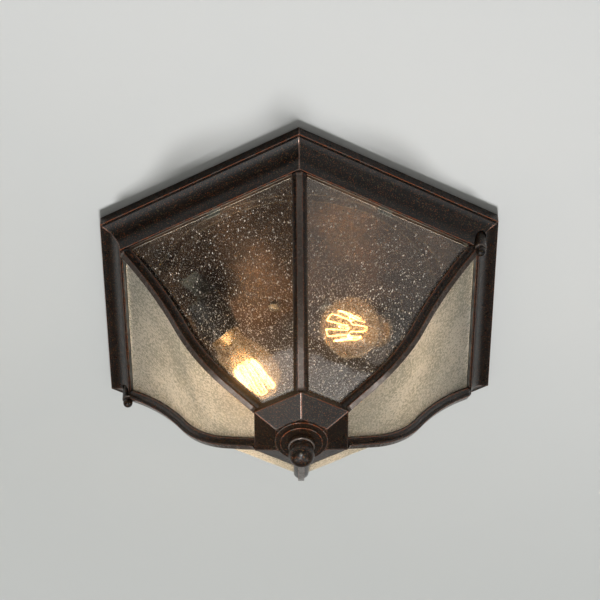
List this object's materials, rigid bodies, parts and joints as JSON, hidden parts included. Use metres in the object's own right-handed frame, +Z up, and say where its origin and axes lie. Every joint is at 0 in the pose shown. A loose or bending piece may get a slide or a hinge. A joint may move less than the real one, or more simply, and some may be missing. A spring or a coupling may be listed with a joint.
{
  "type": "porch ceiling lantern",
  "caption": "Hexagonal porch ceiling lantern: moulded frame, ogee ribs with bent seeded glass, bottom cap with ball finial, ball knobs and angled lamps behind the glass.",
  "frame": {"origin": "centre of the face that lies on the ceiling", "axes": "+Z up into the ceiling, the lantern hangs along -Z; -Y points at the corner nearest the viewer, +X to the right of the view; the two knobs are at the +X -Y and the -X +Y corners"},
  "size_m": [0.3084, 0.356, 0.1803],
  "materials": {
    "oil_rubbed_bronze": "satin brown-black with copper rubbed edges",
    "pan_enamel": "glossy bronze paint",
    "zinc_steel": "zinc plated",
    "seeded_glass": "clear with small bubbles",
    "lamp_glass": "clear",
    "phenolic": "moulded",
    "shell_brass": "stamped",
    "base_nickel": "rolled",
    "filament": "glowing tungsten wire",
    "glass_fibre": "felted",
    "nylon": "moulded",
    "green_screw": "dyed"
  },
  "bodies": {
    "ceiling_mount": {"ceiling_pan": "pan_enamel", "mounting_crossbar": "zinc_steel", "pan_screws": "zinc_steel", "ground_screw": "green_screw", "wire_bushing": "nylon", "insulation_pad": "glass_fibre", "bracket_rivets": "zinc_steel", "socket_screws": "zinc_steel", "stud_right": "zinc_steel", "stud_left": "zinc_steel", "socket_bracket_left": "zinc_steel", "socket_body_left": "phenolic", "socket_shell_left": "shell_brass", "socket_contact_left": "shell_brass", "socket_bracket_right": "zinc_steel", "socket_body_right": "phenolic", "socket_shell_right": "shell_brass", "socket_contact_right": "shell_brass"},
    "glass_cage": {"frame_moulding": "oil_rubbed_bronze", "seat_rails": "zinc_steel", "corner_plates": "zinc_steel", "glass_clips": "zinc_steel", "glass_clip_screws": "zinc_steel", "bottom_cap": "oil_rubbed_bronze", "clamp_plate": "zinc_steel", "tie_bolt": "zinc_steel", "tie_bolt_nut": "zinc_steel", "finial_washer": "oil_rubbed_bronze", "rib_1": "oil_rubbed_bronze", "rib_liner_1": "oil_rubbed_bronze", "glass_panel_1": "seeded_glass", "rib_2": "oil_rubbed_bronze", "rib_liner_2": "oil_rubbed_bronze", "glass_panel_2": "seeded_glass", "rib_3": "oil_rubbed_bronze", "rib_liner_3": "oil_rubbed_bronze", "glass_panel_3": "seeded_glass", "rib_4": "oil_rubbed_bronze", "rib_liner_4": "oil_rubbed_bronze", "glass_panel_4": "seeded_glass", "rib_5": "oil_rubbed_bronze", "rib_liner_5": "oil_rubbed_bronze", "glass_panel_5": "seeded_glass", "rib_6": "oil_rubbed_bronze", "rib_liner_6": "oil_rubbed_bronze", "glass_panel_6": "seeded_glass"},
    "finial": {"finial_ball": "oil_rubbed_bronze"},
    "knob_right": {"knob_right": "oil_rubbed_bronze"},
    "knob_left": {"knob_left": "oil_rubbed_bronze"},
    "bulb_left": {"bulb_base_left": "base_nickel", "bulb_glass_left": "lamp_glass", "bulb_stem_left": "lamp_glass", "bulb_filament_left": "filament"},
    "bulb_right": {"bulb_base_right": "base_nickel", "bulb_glass_right": "lamp_glass", "bulb_stem_right": "lamp_glass", "bulb_filament_right": "filament"}
  },
  "joints": [
    {"name": "cage_lower", "type": "slide", "parent": "ceiling_mount", "child": "glass_cage", "axis": [0, 0, -1], "range_m": [0, 0.11]},
    {"name": "finial_unscrew", "type": "hinge", "parent": "glass_cage", "child": "finial", "pos_m": [0, 0, -0.17], "axis": [0, 0, -1], "range_deg": [0, 2520]},
    {"name": "knob_right_unscrew", "type": "hinge", "parent": "glass_cage", "child": "knob_right", "pos_m": [0.13943, -0.0805, -0.025], "axis": [0, 0, -1], "range_deg": [0, 4320]},
    {"name": "knob_left_unscrew", "type": "hinge", "parent": "glass_cage", "child": "knob_left", "pos_m": [-0.13943, 0.0805, -0.025], "axis": [0, 0, -1], "range_deg": [0, 4320]},
    {"name": "bulb_left_unscrew", "type": "hinge", "parent": "ceiling_mount", "child": "bulb_left", "pos_m": [-0.05928, 0.00145, -0.0376], "axis": [0.5441, 0.6281, -0.5563], "range_deg": [0, 1980]},
    {"name": "bulb_right_unscrew", "type": "hinge", "parent": "ceiling_mount", "child": "bulb_right", "pos_m": [0.05928, -0.00145, -0.0376], "axis": [-0.5441, -0.6281, -0.5563], "range_deg": [0, 1980]}
  ]
}
